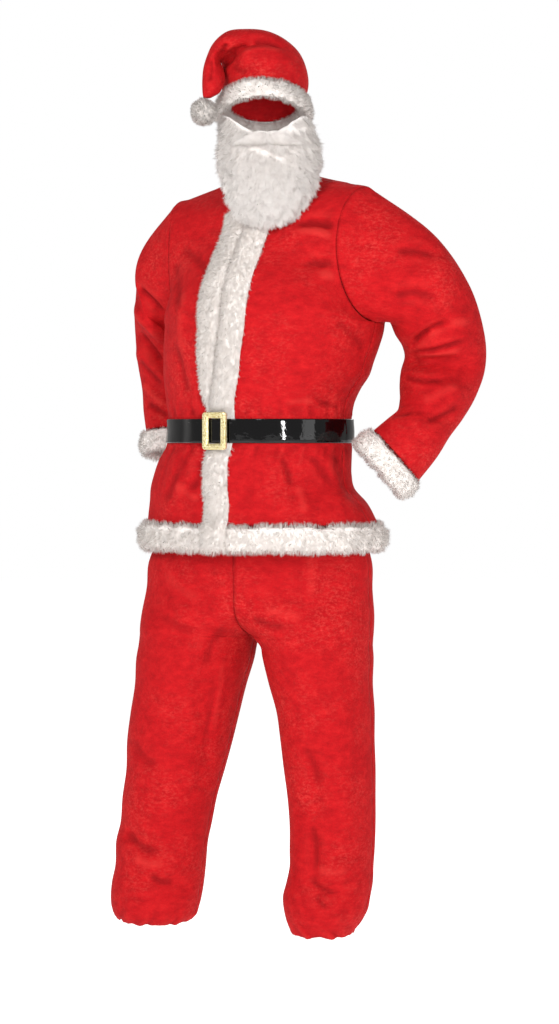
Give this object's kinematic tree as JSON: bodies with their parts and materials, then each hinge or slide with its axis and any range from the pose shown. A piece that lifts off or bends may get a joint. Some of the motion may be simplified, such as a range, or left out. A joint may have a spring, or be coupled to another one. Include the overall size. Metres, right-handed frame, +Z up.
{
  "type": "santa suit",
  "caption": "Worn santa suit as a hollow form: belted plush jacket and trousers with fur trims, stocking hat with a pompom, and a false beard.",
  "frame": {"origin": "centre of the neck opening, where the wearer holds the suit up", "axes": "+Z up, +X towards the wearer's left (the picture's right), -Y towards the camera; the jacket is turned about 31 degrees towards the wearer's right"},
  "size_m": [0.7148, 0.5022, 1.7093],
  "materials": {
    "red_plush": "short-pile plush, matte with a soft sheen",
    "white_fur": "soft long-pile faux fur",
    "white_hair": "long soft synthetic hair",
    "patent_belt": "black patent, glossy",
    "gold_buckle": "gold glitter coating"
  },
  "bodies": {
    "root": {"jacket_front_left": "red_plush", "jacket_front_right": "red_plush", "jacket_back": "red_plush", "sleeve_left": "red_plush", "sleeve_right": "red_plush", "trousers_front_left": "red_plush", "trousers_front_right": "red_plush", "trousers_back_left": "red_plush", "trousers_back_right": "red_plush", "waistband": "red_plush", "hat_crown": "red_plush", "trim_front_left": "white_fur", "trim_front_right": "white_fur", "hem_band": "white_fur", "cuff_left": "white_fur", "cuff_right": "white_fur", "hat_band": "white_fur", "pompom": "white_fur", "beard": "white_hair", "moustache": "white_hair", "belt": "patent_belt", "buckle": "gold_buckle", "buckle_bar": "gold_buckle"}
  },
  "joints": []
}
